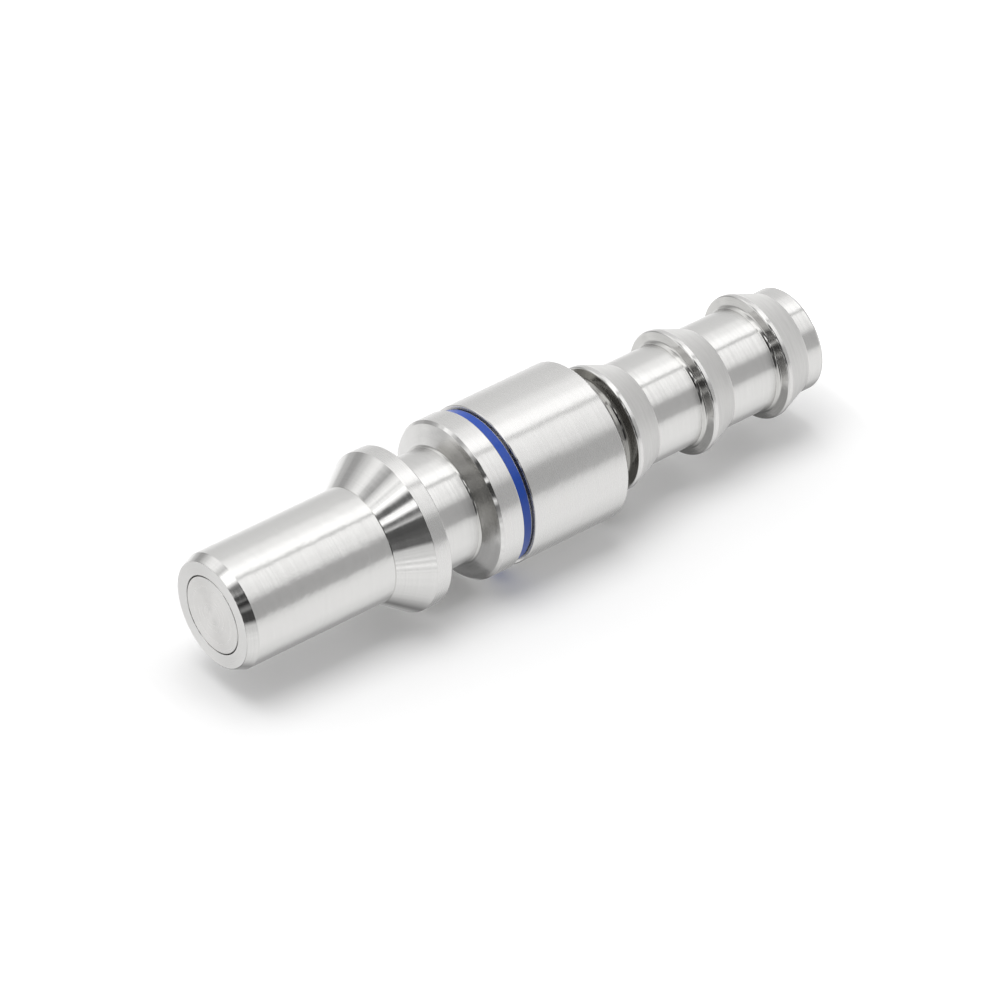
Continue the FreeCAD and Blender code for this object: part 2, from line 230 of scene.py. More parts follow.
class Effects:
    """The shader node groups that several finishes share, each built once.

    FACE_SHARE weighs a step outwards against one along the axis. STROKES counts the broken
    strokes per metre round the axis, STROKE_WIDTH and WAVE_SHARE count strokes and waves per
    ring. WAVE_SCALE makes the waves finer again. NOISE_REACH is the part of a noise's range
    that is stretched over 0 to 1.
    """

    FACE_SHARE = 0.83
    STROKES = 420.0
    STROKE_WIDTH = 0.6
    WAVE_SHARE = 0.08
    WAVE_SCALE = 5.0
    NOISE_REACH = (0.3, 0.7)

    @staticmethod
    def _group(name: str, takes: tuple[str, ...],
               gives: tuple[str, ...]) -> tuple[Nodes, bpy.types.Node, bpy.types.Node]:
        """Start a node group with float sockets.

        Args:
            name: The group's name.
            takes: Names of its inputs.
            gives: Names of its outputs.

        Returns:
            The group's nodes, with its input node and its output node.
        """
        tree = bpy.data.node_groups.new(name, "ShaderNodeTree")
        for way, sockets in (("INPUT", takes), ("OUTPUT", gives)):
            for socket in sockets:
                tree.interface.new_socket(socket, in_out=way, socket_type="NodeSocketFloat")
        nodes = Nodes(tree)
        return nodes, nodes.add("NodeGroupInput"), nodes.add("NodeGroupOutput")

    @classmethod
    @cache
    def turning_marks(cls) -> bpy.types.NodeTree:
        """Fine rings that a turning tool leaves, along a cylinder or across a face.

        Returns:
            A group with the inputs Rings (per metre) and Break_Up, and the outputs Marks
            and Waves, both from 0 to 1.
        """
        nodes, start, end = cls._group("turning_marks", ("Rings", "Break_Up"), ("Marks", "Waves"))
        spot = nodes.add("ShaderNodeTexCoord").outputs["Object"]
        parts = nodes.add("ShaderNodeSeparateXYZ", {0: spot})
        flat = nodes.add("ShaderNodeCombineXYZ", {0: parts.outputs[0], 1: parts.outputs[1]})
        across = nodes.add("ShaderNodeVectorMath", {0: flat.outputs[0]}, operation="LENGTH")
        travel = nodes.reckon(
            "MULTIPLY_ADD", across.outputs["Value"], cls.FACE_SHARE, parts.outputs[2]
        )
        count = nodes.reckon("MULTIPLY", travel, start.outputs["Rings"])
        rings = nodes.noise(detail=4.0, roughness=0.7, W=count)
        stretch = nodes.add("ShaderNodeCombineXYZ", {
            0: nodes.reckon("MULTIPLY", parts.outputs[0], cls.STROKES),
            1: nodes.reckon("MULTIPLY", parts.outputs[1], cls.STROKES),
            2: nodes.reckon("MULTIPLY", count, cls.STROKE_WIDTH),
        })
        strokes = nodes.noise(detail=3.0, roughness=0.65, Vector=stretch.outputs[0])
        # A Mix node takes two plain values as its inputs 2 and 3
        marks = nodes.add("ShaderNodeMix", {
            "Factor": start.outputs["Break_Up"], 2: rings, 3: strokes,
        })
        wave = nodes.reckon("MULTIPLY", count, cls.WAVE_SHARE)
        waves = nodes.noise(detail=2.0, scale=cls.WAVE_SCALE, W=wave)
        for name, value in (("Marks", marks.outputs[0]), ("Waves", waves)):
            clear = nodes.spread(value, 0.0, 1.0, cls.NOISE_REACH)
            nodes.tree.links.new(clear, end.inputs[name])
        return nodes.tree

    @classmethod
    @cache
    def grain(cls) -> bpy.types.NodeTree:
        """Even grain of a milled, moulded or drawn surface, with slow patches over it.

        Returns:
            A group with the inputs Size (grains per metre) and Patches (per metre), and the
            outputs Grain and Patch, both from 0 to 1.
        """
        nodes, start, end = cls._group("grain", ("Size", "Patches"), ("Grain", "Patch"))
        spot = nodes.add("ShaderNodeTexCoord").outputs["Object"]
        for name, scale, detail in (("Grain", "Size", 4.0), ("Patch", "Patches", 2.0)):
            noise = nodes.noise(detail, scale=start.outputs[scale], Vector=spot)
            clear = nodes.spread(noise, 0.0, 1.0, cls.NOISE_REACH)
            nodes.tree.links.new(clear, end.inputs[name])
        return nodes.tree


@dataclass(frozen=True)
class TurnedSteel:
    """Stainless steel as a lathe leaves it.

    Rings and patches count per metre, and break_up is how far the rings break into strokes.
    Tone and roughness_spread are how much the marks change the colour and the roughness. The
    marks are mark_depth high, and the slow dents under them unevenness, both in metres. The
    constants weigh the marks' two tones, and the waves and patches in the roughness.
    """

    DARKER = 2.0
    LIGHTER = 0.5
    WAVES = 0.4
    PATCHES = 0.2
    ALONG_THE_AXIS = 0.25

    colour: Colour = (0.685, 0.68, 0.67)
    roughness: float = 0.25
    anisotropy: float = 0.85
    rings: float = 9000.0
    break_up: float = 0.2
    tone: float = 0.03
    roughness_spread: float = 0.03
    mark_depth: float = 0.0000001
    patches: float = 750.0
    unevenness: float = 0.000006

    def dress(self, material: bpy.types.Material) -> None:
        """Write the finish into a material.

        Args:
            material: The material that gets the nodes.
        """
        nodes = Nodes(material.node_tree)
        marks = nodes.add("ShaderNodeGroup", node_tree=Effects.turning_marks())
        marks.inputs["Rings"].default_value = self.rings
        marks.inputs["Break_Up"].default_value = self.break_up
        patches = nodes.add("ShaderNodeGroup", node_tree=Effects.grain())
        patches.inputs["Patches"].default_value = self.patches
        dark = tuple(channel * (1 - self.DARKER * self.tone) for channel in self.colour)
        light = tuple(min(1.0, channel * (1 + self.LIGHTER * self.tone)) for channel in self.colour)
        tone = nodes.blend(marks.outputs["Marks"], dark, light)
        waves = nodes.spread(marks.outputs["Waves"], -self.WAVES, self.WAVES)
        slow = nodes.spread(patches.outputs["Patch"], -self.PATCHES, self.PATCHES)
        waved = nodes.reckon("ADD", marks.outputs["Marks"], waves)
        rough = nodes.spread(nodes.reckon("ADD", waved, slow),
                             self.roughness - self.roughness_spread,
                             self.roughness + self.roughness_spread)
        dents = nodes.add("ShaderNodeBump", {
            "Height": patches.outputs["Patch"], "Strength": 1.0, "Distance": self.unevenness,
        })
        bump = nodes.add("ShaderNodeBump", {
            "Height": marks.outputs["Marks"], "Strength": 1.0, "Distance": self.mark_depth,
            "Normal": dents.outputs[0],
        })
        round_axis = nodes.add("ShaderNodeTangent", direction_type="RADIAL", axis="Z")
        steel = nodes.add("ShaderNodeBsdfPrincipled", {
            "Base Color": tone, "Metallic": 1.0, "Roughness": rough,
            "Anisotropic": self.anisotropy, "Anisotropic Rotation": self.ALONG_THE_AXIS,
            "Tangent": round_axis.outputs[0], "Normal": bump.outputs[0],
        })
        nodes.add("ShaderNodeOutputMaterial", {"Surface": steel.outputs[0]})


@dataclass(frozen=True)
class GrainedFinish:
    """A surface with an even grain: milled or drawn steel, moulded plastic or rubber.

    Its grains run from the dark colour to the colour. Size and patches count grains and slow
    patches per metre, depth is the grains' height in metres, and shine is the specular level.
    """

    GRAIN_PART = 0.6

    colour: Colour
    dark: Colour
    roughness: float = 0.4
    roughness_spread: float = 0.08
    metallic: float = 0.0
    size: float = 12000.0
    patches: float = 300.0
    depth: float = 0.000004
    shine: float = 0.5

    def dress(self, material: bpy.types.Material) -> None:
        """Write the finish into a material.

        Args:
            material: The material that gets the nodes.
        """
        nodes = Nodes(material.node_tree)
        grain = nodes.add("ShaderNodeGroup", node_tree=Effects.grain())
        grain.inputs["Size"].default_value = self.size
        grain.inputs["Patches"].default_value = self.patches
        slow = nodes.spread(grain.outputs["Patch"], 0.0, 1 - self.GRAIN_PART)
        mixed = nodes.reckon("MULTIPLY_ADD", grain.outputs["Grain"], self.GRAIN_PART, slow)
        tone = nodes.blend(mixed, self.dark, self.colour)
        rough = nodes.spread(mixed, self.roughness + self.roughness_spread,
                             self.roughness - self.roughness_spread)
        bump = nodes.add("ShaderNodeBump", {
            "Height": grain.outputs["Grain"], "Strength": 1.0, "Distance": self.depth,
        })
        body = nodes.add("ShaderNodeBsdfPrincipled", {
            "Base Color": tone, "Metallic": self.metallic, "Roughness": rough,
            "Specular IOR Level": self.shine, "Normal": bump.outputs[0],
        })
        nodes.add("ShaderNodeOutputMaterial", {"Surface": body.outputs[0]})


FINISHES: dict[Surface, TurnedSteel | GrainedFinish] = {
    Surface.SATIN: TurnedSteel(break_up=0.5, tone=0.02, roughness_spread=0.02, patches=900.0,
                               unevenness=0.000009),
    Surface.BARREL: TurnedSteel(rings=9500.0, roughness=0.27, break_up=0.5, tone=0.015,
                                roughness_spread=0.015),
    Surface.STEM: TurnedSteel(roughness=0.24, rings=8000.0, break_up=0.4),
    Surface.RAMP: TurnedSteel(roughness=0.13, rings=12000.0, unevenness=0.0000015),
    Surface.LEAD_IN: TurnedSteel(roughness=0.12, rings=14000.0, unevenness=0.000003),
    Surface.FACED: TurnedSteel(roughness=0.3, rings=11000.0, patches=1400.0),
    Surface.DISH: TurnedSteel(roughness=0.18),
    Surface.SLOPE: TurnedSteel(roughness=0.5, anisotropy=0.3, break_up=0.8, rings=6000.0,
                               tone=0.05),
    # Ridge fronts and root fillets: polished steel with painted shade, as a base colour darker than
    # the rest
    Surface.PAINTED_SHADE_RIDGE_FACE: TurnedSteel(colour=(0.58, 0.575, 0.56), roughness=0.11, rings=12000.0),
    Surface.EDGE: TurnedSteel(colour=(0.66, 0.655, 0.645), roughness=0.1, rings=14000.0),
    # Crevices: painted shade, as a steel colour about half as bright as the rest
    Surface.PAINTED_SHADE_CREVICE: TurnedSteel(colour=(0.33, 0.325, 0.31), roughness=0.13),
    Surface.BORE: TurnedSteel(colour=(0.5, 0.495, 0.485), roughness=0.34, tone=0.08),
    Surface.POPPET: TurnedSteel(colour=(0.69, 0.682, 0.67), roughness=0.3, rings=13000.0,
                                patches=1400.0),
    Surface.BLUE: GrainedFinish(colour=(0.012, 0.07, 0.41), dark=(0.007, 0.045, 0.28),
                                roughness=0.2, shine=0.35, depth=0.000002),
    Surface.RUBBER: GrainedFinish(colour=(0.03, 0.03, 0.031), dark=(0.012, 0.012, 0.013),
                                  roughness=0.55, size=16000.0),
    Surface.MILLED: GrainedFinish(colour=(0.72, 0.71, 0.7), dark=(0.55, 0.545, 0.54),
                                  metallic=1.0, roughness=0.34, size=9000.0),
    Surface.WIRE: GrainedFinish(colour=(0.6, 0.59, 0.58), dark=(0.42, 0.415, 0.41),
                                metallic=1.0, roughness=0.28, size=7000.0),
}


def material_for(surface: Surface) -> bpy.types.Material:
    """The material of a finish, made the first time that it is asked for.

    Args:
        surface: The finish.

    Returns:
        The material.
    """
    found = bpy.data.materials.get(surface.value)
    if found is None:
        found = bpy.data.materials.new(surface.value)
        found.use_nodes = True
        FINISHES[surface].dress(found)
    return found


@dataclass(frozen=True)
class Corner:
    """A corner of a turned outline, in millimetres.

    The finish is that of the line that leaves the corner, edge that of the corner's own
    rounding, and reach the rounding's radius.
    """

    across: float
    along: float
    finish: Surface = Surface.BORE
    reach: float = CRISP
    edge: Surface = Surface.EDGE


@dataclass(frozen=True)
class RingPoint:
    """A point of a rounded outline, with the way its surface faces."""

    across: float
    along: float
    facing: Vector
    finish: Surface


def rounded_outline(corners: list[Corner], closed: bool) -> list[RingPoint]:
    """Round the corners of an outline whose material lies on its left.

    Args:
        corners: The corners, upwards on the outside.
        closed: Whether the last corner joins the first, or both ends lie on the axis.

    Returns:
        The points of the rounded outline.
    """
    points: list[RingPoint] = []
    count = len(corners)
    for index, corner in enumerate(corners):
        here = Vector((corner.across, corner.along))
        before = corners[index - 1]
        after = corners[(index + 1) % count]
        arrive = here - Vector((before.across, before.along))
        leave = Vector((after.across, after.along)) - here
        if not closed and index in (0, count - 1):
            way = (leave if index == 0 else arrive).normalized()
            facing = Vector((way.y, -way.x))
            points.append(RingPoint(corner.across, corner.along, facing, corner.finish))
            continue
        first = arrive.normalized()
        second = leave.normalized()
        turn = math.atan2(first.cross(second), first.dot(second))
        room = ROUNDING_ROOM * min(arrive.length, leave.length)
        reach = min(corner.reach, room / abs(math.tan(turn / 2)))
        start = here - first * reach * abs(math.tan(turn / 2))
        facing = Vector((first.y, -first.x))
        side = 1.0 if turn > 0 else -1.0
        centre = start - facing * reach * side
        steps = max(2, math.ceil(abs(turn) / ARC_STEP))
        for step in range(steps + 1):
            aim = facing.copy()
            aim.rotate(Matrix.Rotation(turn * step / steps, 2))
            spot = centre + aim * reach * side
            finish = corner.edge if step < steps else corner.finish
            points.append(RingPoint(spot.x, spot.y, aim, finish))
    return points


def turned_mesh(name: str, points: list[RingPoint], closed: bool) -> bpy.types.Mesh:
    """Sweep a rounded outline about the axis, with the exact way that each point faces.

    Args:
        name: The mesh's name.
        points: The outline's points, in millimetres.
        closed: Whether the last point joins the first.

    Returns:
        The mesh, in metres, with a material slot for each finish.
    """
    spots: list[Triple] = []
    facings: list[Triple] = []
    rings: list[list[int]] = []
    angles = [2 * math.pi * step / ROUND_THE_AXIS for step in range(ROUND_THE_AXIS)]
    for point in points:
        on_axis = point.across < ON_AXIS
        ring: list[int] = []
        for angle in angles[:1] if on_axis else angles:
            cosine = math.cos(angle)
            sine = math.sin(angle)
            ring.append(len(spots))
            spots.append((point.across * MM * cosine, point.across * MM * sine, point.along * MM))
            facings.append((point.facing.x * cosine, point.facing.x * sine, point.facing.y))
        rings.append(ring * ROUND_THE_AXIS if on_axis else ring)
    finishes = list(dict.fromkeys(point.finish for point in points))
    faces: list[tuple[int, ...]] = []
    slots: list[int] = []
    pairs = len(points) if closed else len(points) - 1
    for index in range(pairs):
        low = rings[index]
        high = rings[(index + 1) % len(points)]
        for step in range(ROUND_THE_AXIS):
            after = (step + 1) % ROUND_THE_AXIS
            loop = (low[step], low[after], high[after], high[step])
            faces.append(tuple(dict.fromkeys(loop)))
            slots.append(finishes.index(points[index].finish))
    mesh = bpy.data.meshes.new(name)
    mesh.from_pydata(spots, [], faces)
    for finish in finishes:
        mesh.materials.append(material_for(finish))
    mesh.polygons.foreach_set("material_index", slots)
    mesh.polygons.foreach_set("use_smooth", [True] * len(faces))
    mesh.normals_split_custom_set_from_vertices(facings)
    mesh.update()
    return mesh


@dataclass(frozen=True)
class Placing:
    """Where a piece of the scene belongs: its body, a slot that is not used, and the node it stands
    for.
    """

    body: str
    slot: str
    node: str


def place(mesh: bpy.types.Mesh, placing: Placing) -> bpy.types.Object:
    """Put a mesh into the scene as a piece that rides on its body.

    Args:
        mesh: The piece's mesh, in the frame's own place, with the piece's name.
        placing: The body, slot and node.

    Returns:
        The new object.
    """
    piece = bpy.data.objects.new(mesh.name, mesh)
    bpy.context.scene.collection.objects.link(piece)
    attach(piece, placing.body)
    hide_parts(placing.node)
    log.info("%s: %d faces", piece.name, len(mesh.polygons))
    return piece


class TurnedPiece(ABC):
    """A piece that is round about the axis, made by sweeping its outline about it."""

    NAME: ClassVar[str]
    PLACING: ClassVar[Placing]
    CLOSED: ClassVar[bool] = True

    @abstractmethod
    def outline(self) -> list[Corner]:
        """The outline of the piece, upwards on its outside.

        Returns:
            Its corners.
        """

    def build(self) -> bpy.types.Object:
        """Make the piece and put it in its place.

        Returns:
            The new object.
        """
        points = rounded_outline(self.outline(), self.CLOSED)
        return place(turned_mesh(self.NAME, points, self.CLOSED), self.PLACING)


@dataclass
class NoseBody(TurnedPiece):
    """Nose, ramp collar, latch neck, flange and the spigot inside the barrel.

    Lengths are in millimetres and count back from the nose face. A groove has its front, its
    rear and its floor's radius.
    """

    NAME = "nose_body_turned"
    PLACING = Placing("coupling_body", "turned_steel", "nose_body")

    face: float
    rear: float
    nose_radius: float = 5.4
    body_radius: float = BODY_RADIUS
    lead_length: float = 0.95
    lead_depth: float = 0.45
    ramp_foot: float = 15.5
    ramp_top: float = 18.4
    collar_rear: float = 20.0
    flange_front: float = 24.7
    flange_rear: float = 27.95
    dish_depth: float = 0.8
    rim: float = 0.25
    seat_radius: float = 3.655
    seat_depth: float = 3.2
    chamber_radius: float = 4.2
    guide_radius: float = GUIDE_RADIUS
    guide_depth: float = 26.0
    clip_groove: Triple = (28.0, 28.66, 4.8)
    spigot_seat: float = 29.15
    seal_land_radius: float = 6.57
    seal_land_rear: float = 31.25
    seal_groove: Triple = (29.65, 30.85, 5.76)
    thread_radius: float = 6.27
    ring_seat_radius: float = 6.82
    ramp_root: float = 0.2
    neck_root: float = 0.3
    mouth_break: float = 0.06
    thread_break: float = 0.4

    def outline(self) -> list[Corner]:
        """The outline of the piece, up its outside and down its bore.

        Returns:
            Its corners.
        """
        top = self.face
        groove_front, groove_rear, groove_floor = self.seal_groove
        clip_front, clip_rear, clip_floor = self.clip_groove
        rim_radius = self.body_radius - self.rim
        seat_end = top - self.seat_depth
        chamber_start = seat_end - (self.chamber_radius - self.seat_radius)
        return [
            Corner(self.guide_radius, self.rear),
            Corner(self.thread_radius, self.rear, Surface.BORE, self.thread_break),
            Corner(self.thread_radius, top - self.seal_land_rear),
            Corner(self.seal_land_radius, top - self.seal_land_rear),
            Corner(self.seal_land_radius, top - groove_rear),
            Corner(groove_floor, top - groove_rear),
            Corner(groove_floor, top - groove_front),
            Corner(self.seal_land_radius, top - groove_front),
            Corner(self.seal_land_radius, top - self.spigot_seat),
            Corner(self.ring_seat_radius, top - self.spigot_seat, Surface.STEM),
            Corner(self.ring_seat_radius, top - self.flange_rear, Surface.STEM),
            Corner(self.body_radius, top - self.flange_rear, Surface.BARREL, SOFT),
            Corner(self.body_radius, top - self.flange_front - self.dish_depth - self.rim,
                   Surface.EDGE),
            Corner(rim_radius, top - self.flange_front - self.dish_depth, Surface.DISH, FINE),
            # Painted shade: the neck's root fillet at the flange has the darker ridge-front steel
            Corner(self.nose_radius, top - self.flange_front, Surface.STEM, self.neck_root,
                   Surface.PAINTED_SHADE_RIDGE_FACE),
            # Painted shade: the neck's root fillet at the collar has the darker ridge-front steel,
            # and the collar's rear face the dark crevice colour
            Corner(self.nose_radius, top - self.collar_rear, Surface.PAINTED_SHADE_CREVICE, self.neck_root,
                   Surface.PAINTED_SHADE_RIDGE_FACE),
            Corner(self.body_radius, top - self.collar_rear, Surface.BARREL, SOFT),
            Corner(self.body_radius, top - self.ramp_top, Surface.RAMP, FINE),
            # Painted shade: the root fillet at the ramp's foot has the darker ridge-front steel
            Corner(self.nose_radius, top - self.ramp_foot, Surface.SATIN, self.ramp_root,
                   Surface.PAINTED_SHADE_RIDGE_FACE),
            Corner(self.nose_radius, top - self.lead_length, Surface.LEAD_IN, FINE),
            Corner(self.nose_radius - self.lead_depth, top, Surface.FACED, FINE),
            Corner(self.seat_radius, top, Surface.BORE, self.mouth_break),
            Corner(self.seat_radius, seat_end),
            Corner(self.chamber_radius, chamber_start),
            Corner(self.chamber_radius, top - self.guide_depth),
            Corner(self.guide_radius, top - self.guide_depth),
            Corner(self.guide_radius, top - clip_front),
            Corner(clip_floor, top - clip_front),
            Corner(clip_floor, top - clip_rear),
            Corner(self.guide_radius, top - clip_rear),
        ]


@dataclass
class HoseTail(TurnedPiece):
    """Barrel and ridged hose tail, turned in one.

    Lengths are in millimetres and count up from the hose end. A bore in the barrel's front has
    its radius and its depth.
    """

    NAME = "hose_tail_turned"
    PLACING = Placing("coupling_body", "turned_steel_tail", "hose_tail")

    front: float
    tail_land: float = 1.8
    tail_radius: float = 4.925
    stem_radius: float = 4.9
    ridge_radius: float = 5.95
    ridge_count: int = 3
    ridge_pitch: float = 8.65
    slope: float = 2.75
    crest: float = 0.45
    lean: float = 0.3
    slope_root: float = 0.15
    crest_round: float = 0.2
    stem_root: float = 0.45
    end_round: float = 0.35
    barrel_length: float = 10.7
    body_radius: float = BODY_RADIUS
    chamfer: float = 0.35
    chamfer_break: float = 0.06
    bore_radius: float = 3.7
    mouth: float = 0.35
    counterbore: Pair = (6.6, 2.1)
    thread_bore: Pair = (6.3, 7.5)
    guide_radius: float = GUIDE_RADIUS

    def ridge(self, number: int) -> list[Corner]:
        """The corners of one ridge.

        Args:
            number: The ridge, counted from the hose end.

        Returns:
            Its corners, from the foot of its slope to its steep front.
        """
        foot = self.tail_land + number * self.ridge_pitch
        top = foot + self.slope
        start = self.tail_radius if number == 0 else self.stem_radius
        # Painted shade: the ridge by the barrel has the dark crevice colour on its steep front and
        # on the stem behind it, the other ridges the darker ridge-front steel on their fronts and
        # root fillets
        by_barrel = number == self.ridge_count - 1
        steep = Surface.PAINTED_SHADE_CREVICE if by_barrel else Surface.PAINTED_SHADE_RIDGE_FACE
        stem = Surface.PAINTED_SHADE_CREVICE if by_barrel else Surface.STEM
        return [
            Corner(start, foot, Surface.SLOPE, self.slope_root),
            Corner(self.ridge_radius, top, Surface.STEM, FINE),
            Corner(self.ridge_radius, top + self.crest, steep, self.crest_round),
            Corner(self.stem_radius, top + self.crest + self.lean, stem, self.stem_root, steep),
        ]

    def outline(self) -> list[Corner]:
        """The outline of the piece, up its outside and down its bore.

        Returns:
            Its corners.
        """
        barrel_rear = self.front - self.barrel_length
        counterbore_radius, counterbore_depth = self.counterbore
        thread_radius, thread_depth = self.thread_bore
        step = self.guide_radius - self.bore_radius
        ridges = [corner for number in range(self.ridge_count) for corner in self.ridge(number)]
        return [
            Corner(self.tail_radius, 0.0, Surface.STEM, self.end_round),
            *ridges,
            # Painted shade: the barrel's rear face has the dark crevice colour
            Corner(self.stem_radius, barrel_rear, Surface.PAINTED_SHADE_CREVICE, SOFT),
            Corner(self.body_radius - self.chamfer, barrel_rear, Surface.EDGE,
                   self.chamfer_break),
            Corner(self.body_radius, barrel_rear + self.chamfer, Surface.BARREL,
                   self.chamfer_break),
            Corner(self.body_radius, self.front, Surface.STEM, SOFT),
            Corner(counterbore_radius, self.front),
            Corner(counterbore_radius, self.front - counterbore_depth),
            Corner(thread_radius, self.front - counterbore_depth),
            Corner(thread_radius, self.front - thread_depth),
            Corner(self.guide_radius, self.front - thread_depth),
            Corner(self.bore_radius, self.front - thread_depth - step),
            Corner(self.bore_radius, self.mouth, Surface.LEAD_IN),
            Corner(self.bore_radius + self.mouth, 0.0, Surface.FACED),
        ]


@dataclass
class ColourRing(TurnedPiece):
    """Blue ring between flange and barrel, in millimetres."""

    NAME = "colour_ring_moulded"
    PLACING = Placing("coupling_body", "blue_ring", "colour_ring")

    rear: float
    front: float
    inner: float = 6.84
    outer: float = 7.2
    front_break: float = 0.04

    def outline(self) -> list[Corner]:
        """The four sides of its section.

        Returns:
            Its corners.
        """
        return [
            Corner(self.inner, self.rear, Surface.BLUE),
            Corner(self.outer, self.rear, Surface.BLUE, FINE),
            Corner(self.outer, self.front, Surface.BLUE, self.front_break),
            Corner(self.inner, self.front, Surface.BLUE),
        ]


@dataclass
class ValvePoppet(TurnedPiece):
    """Flush head, seal groove, seating shoulder, spring boss and stem.

    Lengths are in millimetres and count back from the nose face. The groove and the cone have
    their front and rear, the groove its floor's radius too, and shoulder and boss have their
    radius and rear.
    """

    NAME = "valve_poppet_turned"
    PLACING = Placing("valve", "poppet_steel", "valve_poppet")
    CLOSED = False

    face: float
    rear: float
    head_radius: float = 3.575
    face_break: float = 0.06
    seal_groove: Triple = (1.1, 2.3, 2.785)
    cone: Pair = (3.14, 3.44)
    shoulder: Pair = (3.875, 4.4)
    boss: Pair = (2.0, 5.4)
    rod_radius: float = 1.4

    def outline(self) -> list[Corner]:
        """The outline of the piece from the stem's end to the middle of its face.

        Returns:
            Its corners.
        """
        top = self.face
        groove_front, groove_rear, groove_floor = self.seal_groove
        cone_front, cone_rear = self.cone
        shoulder_radius, shoulder_depth = self.shoulder
        boss_radius, boss_depth = self.boss
        return [
            Corner(0.0, self.rear),
            Corner(self.rod_radius, self.rear, Surface.STEM, SOFT),
            Corner(self.rod_radius, top - boss_depth, Surface.STEM),
            Corner(boss_radius, top - boss_depth, Surface.STEM, SOFT),
            Corner(boss_radius, top - shoulder_depth, Surface.STEM),
            Corner(shoulder_radius, top - shoulder_depth, Surface.STEM),
            Corner(shoulder_radius, top - cone_rear, Surface.STEM),
            Corner(self.head_radius, top - cone_front, Surface.STEM),
            Corner(self.head_radius, top - groove_rear),
            Corner(groove_floor, top - groove_rear),
            Corner(groove_floor, top - groove_front),
            Corner(self.head_radius, top - groove_front),
            Corner(self.head_radius, top, Surface.POPPET, self.face_break),
            Corner(0.0, top, Surface.POPPET),
        ]


@dataclass
class ValveSpring:
    """Compression spring with a closed, ground turn at each end, in millimetres.

    Steps_per_turn and sides are how finely its wire is drawn. Travel, how far the valve
    would shorten it, is not used.
    """

    rear: float
    front: float
    coil_radius: float = 2.6
    wire_radius: float = 0.3
    closed_pitch: float = 0.65
    active_turns: int = 9
    steps_per_turn: int = 40
    sides: int = 14
    travel: float = 5.0

    @property
    def all_turns(self) -> int:
        """All turns, with the closed one at each end."""
        return self.active_turns + 2

    def height(self, turns: float) -> float:
        """How high the wire's centre stands.

        Args:
            turns: Turns made since the rear end.

        Returns:
            The height above the rear end.
        """
        length = self.front - self.rear
        if turns <= 1:
            return turns * self.closed_pitch
        if turns >= self.all_turns - 1:
            return length - (self.all_turns - turns) * self.closed_pitch
        rise = length - 2 * self.closed_pitch
        return self.closed_pitch + (turns - 1) / self.active_turns * rise

    def mesh(self) -> bpy.types.Mesh:
        """Sweep the wire's round section along the coil and grind its ends flat.

        Returns:
            The mesh, in metres.
        """
        count = self.all_turns * self.steps_per_turn
        spots: list[Triple] = []
        faces: list[tuple[int, ...]] = []
        for step in range(count + 1):
            turns = step / self.steps_per_turn
            angle = 2 * math.pi * turns
            outward = Vector((math.cos(angle), math.sin(angle), 0))
            centre = outward * self.coil_radius + Vector((0, 0, self.rear + self.height(turns)))
            for side in range(self.sides):
                roll = 2 * math.pi * side / self.sides
                spot = centre + outward * self.wire_radius * math.cos(roll)
                spot.z += self.wire_radius * math.sin(roll)
                spot.z = min(max(spot.z, self.rear), self.front)
                spots.append(tuple(spot * MM))
        for step in range(count):
            for side in range(self.sides):
                after = (side + 1) % self.sides
                here = step * self.sides
                ahead = here + self.sides
                faces.append((here + side, ahead + side, ahead + after, here + after))
        faces.append(tuple(range(self.sides)))
        faces.append(tuple(count * self.sides + side for side in reversed(range(self.sides))))
        mesh = bpy.data.meshes.new("valve_spring_coil")
        mesh.from_pydata(spots, [], faces)
        mesh.polygons.foreach_set("use_smooth", [True] * len(faces))
        mesh.materials.append(material_for(Surface.WIRE))
        mesh.update()
        return mesh

    def build(self) -> bpy.types.Object:
        """Make the spring, put it in its place and give it a mesh of its own.

        Returns:
            The new object.
        """
        coil = place(self.mesh(), Placing("coupling_body", "spring_steel", "valve_spring"))
        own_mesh(coil)
        return coil


@dataclass
class InnerPieces:
    """The guide, its snap ring and the two seals, which keep their own meshes."""

    nodes: dict[str, bpy.types.Object]

    def dress(self) -> None:
        """Give each node its finish."""
        finishes = {
            "valve_guide": Surface.MILLED,
            "guide_clip": Surface.WIRE,
            "poppet_seal": Surface.RUBBER,
            "body_seal": Surface.RUBBER,
        }
        for name, surface in finishes.items():
            node = self.nodes[name]
            for slot in node.material_slots:
                slot.link = "OBJECT"
                slot.material = material_for(surface)
            log.info("%s: dressed as %s", name, surface.value)


